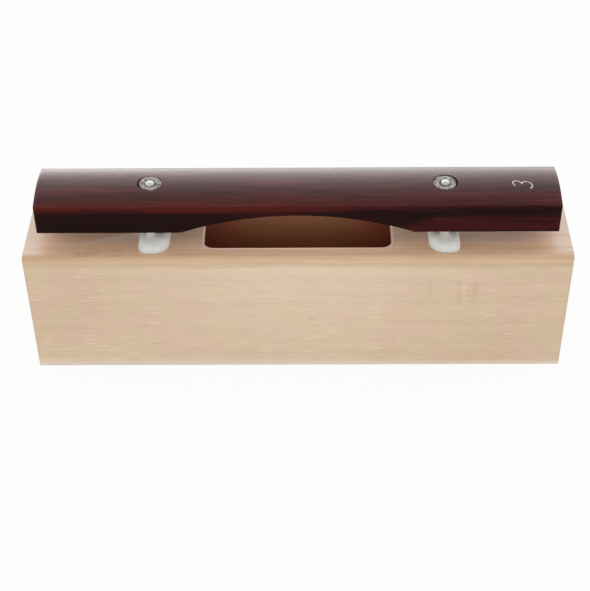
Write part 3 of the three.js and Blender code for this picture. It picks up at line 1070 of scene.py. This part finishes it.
# %% [markdown]
# The top board carries the box's only curves: both long edges are rounded over with a router, and the
# sound slot is cut with rounded corners and an eased rim that catches the light. The board is rounded
# first, then trimmed by an upright block with eased corners, and the slot and pin holes are cut last.

# %% Top board
TOP_ROUND = 4.85 * MM
TOP_ROUND_SEGMENTS = 10
SLOT_SEGMENTS = 8
SLOT_EASE = 0.5 * MM
SLOT_EASE_SEGMENTS = 3
OVERRUN = 3 * MM
PIN_HOLE_RADIUS = 1.9 * MM
PIN_SIDES = 40

top_low, top_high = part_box("top_board")
top_board = block_between("top_board_slotted", top_low, top_high)
ease_where(top_board, lambda edge: along(edge, 0) and close_to(middle_of(edge).z, top_high.z),
           TOP_ROUND, TOP_ROUND_SEGMENTS)

overrun = Vector((0, 0, OVERRUN))
trim = block_between("trim", top_low - overrun, top_high + overrun)
ease_where(trim, upright, CORNER_EASE, CORNER_SEGMENTS)
combine(top_board, trim, "INTERSECT")

slot_tool = block_between("slot tool", Vector((0, 0, top_low.z)) - SLOT_HALF_SIZE - overrun,
                          Vector((0, 0, top_high.z)) + SLOT_HALF_SIZE + overrun)
ease_where(slot_tool, upright, SLOT_CORNER, SLOT_SEGMENTS)
combine(top_board, slot_tool, "DIFFERENCE")

for x in pin_places.values():
    hole = rod_between("hole", x, top_low.z - OVERRUN, top_high.z + OVERRUN, PIN_HOLE_RADIUS, PIN_SIDES)
    combine(top_board, hole, "DIFFERENCE")


def on_slot_rim(edge):
    return all(
        abs(vert.co.x) < SLOT_HALF_SIZE.x + NEAR
        and abs(vert.co.y) < SLOT_HALF_SIZE.y + NEAR
        and close_to(vert.co.z, top_high.z)
        for vert in edge.verts
    )


print("slot rim:", ease_where(top_board, on_slot_rim, SLOT_EASE, SLOT_EASE_SEGMENTS), "edges")
ease_sharp_edges(top_board)
hand_over(top_board, ["top_board"], "root", top_maple)

# %% [markdown]
# The bottom board, the pin blocks and the pin sleeves hardly show. Their frame pieces have the right
# shape, so they stay and only get a finish.

# %% Inner pieces
INNER_FINISHES = {
    "bottom_board": inner_maple,
    "pin_block_left": inner_maple,
    "pin_block_right": inner_maple,
    "pin_sleeve_left": rubber,
    "pin_sleeve_right": rubber,
}

for node, material in INNER_FINISHES.items():
    dress(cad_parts[node], material)
    print("finish only:", node)

# %% [markdown]
# The tone bar is the heart of the object. A maker planes a crown along its top and hollows an arch
# under its middle, which sets its pitch. The same steps work here: a block is sliced into narrow
# strips, the strips of its top are lowered to the crown's circle, and those of its belly are raised to
# the arch. More slices outside the arch keep every face short, because a long thin face beside a
# bored hole shades in smears. The arrises are then rounded, and the stepped holes bored from above,
# with a counterbore a hair tighter than the frame's, so that the ragged felt fills it.

# %% Tone bar
CROWN_RISE = 3.3 * MM
CROWN_CUTS = 47
ARCH_LENGTH = 134 * MM
ARCH_RISE = 12 * MM
ARCH_CUTS = 39
OUTER_CUTS = 33
ARRIS = 0.4 * MM
ARRIS_SEGMENTS = 3
BAR_HOLE_RADIUS = 3.7 * MM
COUNTERBORE_RADIUS = 7.25 * MM
COUNTERBORE_SIDES = 96

bar_low, bar_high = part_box("tone_bar")
bar_half_width = (bar_high.y - bar_low.y) / 2
counterbore_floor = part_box("felt_washer_left")[0].z


def circle_drop(half_chord, rise, distance):
    """How far an arc of a given rise has fallen from its top at a distance from its middle."""
    radius = (half_chord ** 2 + rise ** 2) / (2 * rise)
    return radius - math.sqrt(radius ** 2 - distance ** 2)


def even_places(start, end, cuts):
    """Both ends and evenly spaced places between them."""
    return [start + (end - start) * step / (cuts + 1) for step in range(cuts + 2)]


def slice_across(axis, places):
    """In edit mode, cuts the whole piece by planes square to an axis."""
    normal = [float(index == axis) for index in range(3)]
    for place in places:
        bpy.ops.mesh.select_all(action="SELECT")
        bpy.ops.mesh.bisect(plane_co=[place * value for value in normal], plane_no=normal)


def shift_row(obj, axis, place, level, rise):
    """Moves the row of vertices at one place along an axis, and at one level, up or down."""
    choose(obj, "VERT", lambda vert: close_to(vert.co[axis], place) and close_to(vert.co.z, level))
    bpy.ops.transform.translate(value=(0, 0, rise))


tone_bar = block_between("tone_bar_crowned", bar_low, bar_high)
crown_rows = even_places(-bar_half_width, bar_half_width, CROWN_CUTS)
arch_rows = even_places(-ARCH_LENGTH / 2, ARCH_LENGTH / 2, ARCH_CUTS)
outer_rows = even_places(ARCH_LENGTH / 2, bar_high.x, OUTER_CUTS)[1:-1]
start_editing(tone_bar)
slice_across(1, crown_rows[1:-1])
slice_across(0, arch_rows + outer_rows + [-x for x in outer_rows])
for y in crown_rows:
    shift_row(tone_bar, 1, y, bar_high.z, -circle_drop(bar_half_width, CROWN_RISE, y))
for x in arch_rows[1:-1]:
    rise = ARCH_RISE - circle_drop(ARCH_LENGTH / 2, ARCH_RISE, x)
    shift_row(tone_bar, 0, x, bar_low.z, rise)
stop_editing()
ease_sharp_edges(tone_bar, ARRIS, ARRIS_SEGMENTS)

for x in pin_places.values():
    bore = rod_between("bore", x, bar_low.z - OVERRUN, bar_high.z, BAR_HOLE_RADIUS, PIN_SIDES)
    combine(tone_bar, bore, "DIFFERENCE")
    step_bore = rod_between("step bore", x, counterbore_floor, bar_high.z + OVERRUN,
                            COUNTERBORE_RADIUS, COUNTERBORE_SIDES)
    combine(tone_bar, step_bore, "DIFFERENCE")
print("tone bar before its numeral:", len(tone_bar.data.polygons), "faces")

# %% [markdown]
# A plain numeral is inlaid near the bar's right end, to be read from that end. It could be cut with a
# small round cutter and rubbed with pale filler. Its two bowls are circles with their left side
# deleted, made into curves that carry a round section. Laid on the crown, they cut the groove, and
# what of them lies inside the wood is the filler, sunk by a hair.

# %% Numeral
BOWL_RADII = {"upper": 2.5 * MM, "lower": 2.95 * MM}
BOWL_OPENING = 0.42
BOWL_SIDES = 64
CUTTER_RADIUS = 0.38 * MM
CUTTER_ROUNDNESS = 4
CUTTER_SINK = 0.11 * MM
FILLER_SINK = 0.04 * MM
NUMERAL_SLANT = Matrix(((1, 0.22, 0, 0), (0, 1, 0, 0), (0, 0, 1, 0), (0, 0, 0, 1)))
NUMERAL_PLACE = Matrix.Translation((128.4 * MM, -2.6 * MM, bar_high.z - CUTTER_SINK))
READ_FROM_THE_END = Matrix.Rotation(math.radians(90), 4, "Z")


def bowl(name, way):
    """Half of the numeral 3: a round stroke that opens to the left, above or below its waist."""
    radius = BOWL_RADII[name]
    deselect_all()
    bpy.ops.mesh.primitive_circle_add(vertices=BOWL_SIDES, radius=radius, location=(0, way * radius, 0))
    stroke = keep_place(name + " bowl")
    start_editing(stroke)
    opening = radius * (1 + BOWL_OPENING)
    choose(stroke, "VERT", lambda vert: vert.co.x < -NEAR and way * vert.co.y < opening)
    bpy.ops.mesh.delete(type="VERT")
    stop_editing()
    activate(stroke)
    bpy.ops.object.convert(target="CURVE")
    stroke.data.bevel_depth = CUTTER_RADIUS
    stroke.data.bevel_resolution = CUTTER_ROUNDNESS
    stroke.data.use_fill_caps = True
    bpy.ops.object.convert(target="MESH")
    return stroke


def copy_of(obj):
    copy = obj.copy()
    copy.data = obj.data.copy()
    scene.collection.objects.link(copy)
    return copy


numeral = bowl("upper", 1)
numeral.name = "note_number"
combine(numeral, bowl("lower", -1), "UNION")
numeral.data.transform(NUMERAL_PLACE @ READ_FROM_THE_END @ NUMERAL_SLANT)
for vert in numeral.data.vertices:
    vert.co.z -= circle_drop(bar_half_width, CROWN_RISE, vert.co.y)

uncut = copy_of(tone_bar)
combine(tone_bar, copy_of(numeral), "DIFFERENCE")
combine(numeral, uncut, "INTERSECT")
numeral.data.transform(Matrix.Translation((0, 0, -FILLER_SINK)))
hand_over(tone_bar, ["tone_bar"], "bar", rosewood)
hand_over(numeral, [], "bar", pale_inlay)

# %% [markdown]
# Each saddle is one soft moulding: a pad with rounded corners, rounder towards the middle of the box,
# and a narrow ridge that the bar rests on where it keeps still. A pad and a ridge are blocked out and
# joined, then remeshed into small even faces and smoothed, which melts the two together as a
# moulding's fillets do, and softens the pad's foot. The pin's hole is bored at the end, so that it
# stays crisp.

# %% Saddles
SADDLE_BODY_HEIGHT = 6.4 * MM
SADDLE_INNER_CORNER = 8.6 * MM
SADDLE_OUTER_CORNER = 5.2 * MM
SADDLE_CORNER_SEGMENTS = 8
SADDLE_TOP_ROUND = 4.4 * MM
SADDLE_TOP_SEGMENTS = 6
RIDGE_WIDTH = 5.4 * MM
RIDGE_SETBACK = 8.5 * MM
RIDGE_ROUND = RIDGE_WIDTH * 0.4
RIDGE_SEGMENTS = 5
SADDLE_GRAIN = 0.34 * MM
SADDLE_SMOOTHING = 14


def saddle(side, inward):
    """One saddle. Inward is 1 where the middle of the box lies towards +X, and -1 otherwise."""
    node = "bar_saddle_" + side
    low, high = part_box(node)
    shoulder = low.z + SADDLE_BODY_HEIGHT
    pad = block_between(node + "_moulded", low, (high.x, high.y, shoulder))
    for corner, way in ((SADDLE_INNER_CORNER, inward), (SADDLE_OUTER_CORNER, -inward)):
        face_x = high.x if way > 0 else low.x
        ease_where(pad, lambda edge: upright(edge) and close_to(middle_of(edge).x, face_x)
                   and close_to(abs(middle_of(edge).y), high.y), corner, SADDLE_CORNER_SEGMENTS)
    ease_where(pad, lambda edge: all(close_to(vert.co.z, shoulder) for vert in edge.verts),
               SADDLE_TOP_ROUND, SADDLE_TOP_SEGMENTS)

    x = pin_places[side]
    ridge_low = (x - RIDGE_WIDTH / 2, low.y + RIDGE_SETBACK, shoulder - SADDLE_TOP_ROUND)
    ridge_high = (x + RIDGE_WIDTH / 2, high.y - RIDGE_SETBACK, high.z)
    ridge = block_between("ridge", ridge_low, ridge_high)
    ease_where(ridge, upright, RIDGE_ROUND, RIDGE_SEGMENTS)
    combine(pad, ridge, "UNION")
    apply_modifier(pad, "REMESH", mode="VOXEL", voxel_size=SADDLE_GRAIN, use_smooth_shade=True)
    apply_modifier(pad, "SMOOTH", factor=0.5, iterations=SADDLE_SMOOTHING)
    hole = rod_between("hole", x, low.z - OVERRUN, high.z + OVERRUN, PIN_HOLE_RADIUS, PIN_SIDES)
    combine(pad, hole, "DIFFERENCE")
    hand_over(pad, [node], "root", rubber, smooth_angle=50)


saddle("left", 1)
saddle("right", -1)

# %% [markdown]
# A felt washer is punched out of pressed wool, so its edge is ragged and its faces are never quite
# flat, and the pin's head has pressed a dimple into it. It starts as a disc, which gets its dimple and
# its hole by inset, extrude and bridge. Fine even faces then let a noise push every point about. Each
# washer has also slipped a little to one side, and one tuft of it stands out to a point. What is
# pushed about stays within the counterbore, and clear of the pin's shank. Vector noise starts from
# the clock unless it is given a seed, so a fixed one makes every run give the same felts.

# %% Felt washers
FELT_SIDES = 72
FELT_RINGS = 4
DIMPLE_RINGS = 2
FELT_EDGE = 0.45 * MM
FELT_EDGE_SEGMENTS = 3
FELT_SUBDIVISIONS = 2
DIMPLE_RADIUS = 3.3 * MM
DIMPLE_DEPTH = 1.5 * MM
DIMPLE_MOUTH_RADIUS = 4.3 * MM
DIMPLE_MOUTH_DEPTH = 0.7 * MM
FELT_HOLE_RADIUS = 1.9 * MM
FELT_SEED = 3
FELT_RAGGEDNESS = 0.32 * MM
FELT_LUMPS = 1.1 * MM
FLUFF_LUMPS = FELT_LUMPS * 0.35
FLUFF_SHARE = 0.6
LEAST_STIR = 0.3
FELT_SHIFT = {"left": (0.35 * MM, 0.5 * MM), "right": (-0.5 * MM, -0.15 * MM)}
TUFT_WAY = {"left": Vector((1, 0.05, 0)).normalized(), "right": Vector((-1, -0.25, 0)).normalized()}
TUFT_LENGTH = 0.5 * MM
TUFT_SHARPNESS = 10
FELT_LIMIT = 7.12 * MM
SHANK_CLEARANCE = 1.72 * MM


def is_cap(face):
    return len(face.verts) > 4


def choose_cap(obj, level):
    choose(obj, "FACE", lambda face: is_cap(face) and close_to(face.calc_center_median().z, level))


def inset_to(obj, level, old_radius, new_radius, rings):
    """In edit mode, insets the cap at one level in even steps until it has a new radius."""
    choose_cap(obj, level)
    for _ in range(rings):
        bpy.ops.mesh.inset(thickness=(old_radius - new_radius) / rings, depth=0)


def draw_out(rise, scale):
    """In edit mode, extrudes the chosen cap along Z and scales it about its own middle."""
    bpy.ops.mesh.extrude_region_move(TRANSFORM_OT_translate={"value": (0, 0, rise)})
    bpy.ops.transform.resize(value=(scale, scale, 1))


def rough_up(vert, side, radius, low, high):
    """Pushes one point of a washer about, and keeps it between its limits."""
    x = pin_places[side]
    lump = noise.noise_vector(vert.co / FELT_LUMPS)
    fluff = noise.noise_vector(vert.co / FLUFF_LUMPS)
    push = (lump + fluff * FLUFF_SHARE) * FELT_RAGGEDNESS
    push.z *= (vert.co.z - low.z) / (high.z - low.z)
    arm = Vector((vert.co.x - x, vert.co.y, 0))
    outward = arm.length / radius
    towards_tuft = max(0.0, arm.normalized().dot(TUFT_WAY[side]))
    vert.co += push * min(1.0, LEAST_STIR + outward) + Vector((*FELT_SHIFT[side], 0)) * outward
    vert.co += arm.normalized() * TUFT_LENGTH * towards_tuft ** TUFT_SHARPNESS * outward
    arm = Vector((vert.co.x - x, vert.co.y, 0))
    vert.co += arm * (min(max(arm.length, SHANK_CLEARANCE), FELT_LIMIT) / arm.length - 1)
    vert.co.z = min(max(vert.co.z, low.z), high.z)


def felt_washer(side):
    node = "felt_washer_" + side
    low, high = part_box(node)
    radius = (high.x - low.x) / 2
    flat_radius = radius - FELT_EDGE
    washer = rod_between(node + "_pressed", pin_places[side], low.z, high.z, radius, FELT_SIDES)
    start_editing(washer)
    choose(washer, "EDGE", lambda edge: not upright(edge))
    ease_chosen(FELT_EDGE, FELT_EDGE_SEGMENTS)
    inset_to(washer, high.z, flat_radius, DIMPLE_MOUTH_RADIUS, FELT_RINGS)
    draw_out(-DIMPLE_MOUTH_DEPTH, DIMPLE_RADIUS / DIMPLE_MOUTH_RADIUS)
    draw_out(DIMPLE_MOUTH_DEPTH - DIMPLE_DEPTH, 1.0)
    inset_to(washer, high.z - DIMPLE_DEPTH, DIMPLE_RADIUS, FELT_HOLE_RADIUS, DIMPLE_RINGS)
    inset_to(washer, low.z, flat_radius, FELT_HOLE_RADIUS, FELT_RINGS)
    print("felt caps:", choose(washer, "FACE", is_cap))
    bpy.ops.mesh.bridge_edge_loops()
    stop_editing()
    apply_modifier(washer, "SUBSURF", subdivision_type="SIMPLE", levels=FELT_SUBDIVISIONS,
                   render_levels=FELT_SUBDIVISIONS)
    for vert in washer.data.vertices:
        rough_up(vert, side, radius, low, high)
    hand_over(washer, [node], "bar", grey_felt, smooth_angle=60)


noise.seed_set(FELT_SEED)
for side in pin_places:
    felt_washer(side)

# %% [markdown]
# A pin is turned from wire: a straight shank with a blunt point and a low domed head. The shank is a
# rod, and head and point are drawn out of its two caps by extruding and scaling, one ring at a time.
# The dome's rings follow a quarter circle and stop just short of its pole.

# %% Pins
HEAD_HEIGHT = 1.6 * MM
HEAD_RIM_SHARE = 0.25
HEAD_RINGS = 8
DOME_ANGLE = 87
SHANK_RADIUS = 1.6 * MM
POINT_LENGTH = 2.4 * MM
POINT_BLUNTNESS = 0.08
TURNED_SIDES = 64


def bar_pin(side):
    node = "bar_pin_" + side
    low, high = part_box(node)
    head_radius = (high.x - low.x) / 2
    seat = high.z - HEAD_HEIGHT
    shank_end = low.z + POINT_LENGTH
    pin = rod_between(node + "_turned", pin_places[side], shank_end, seat, SHANK_RADIUS, TURNED_SIDES)
    start_editing(pin)
    choose_cap(pin, shank_end)
    draw_out(-POINT_LENGTH, POINT_BLUNTNESS)
    choose_cap(pin, seat)
    draw_out(0, head_radius / SHANK_RADIUS)
    draw_out(HEAD_HEIGHT * HEAD_RIM_SHARE, 1.0)
    dome = HEAD_HEIGHT * (1 - HEAD_RIM_SHARE)
    level, reach = 0.0, 1.0
    for ring in range(1, HEAD_RINGS + 1):
        angle = ring / HEAD_RINGS * math.radians(DOME_ANGLE)
        new_level, new_reach = math.sin(angle), math.cos(angle)
        draw_out(dome * (new_level - level), new_reach / reach)
        level, reach = new_level, new_reach
    stop_editing()
    hand_over(pin, [node], "root", pin_steel, smooth_angle=40)


for side in pin_places:
    bar_pin(side)
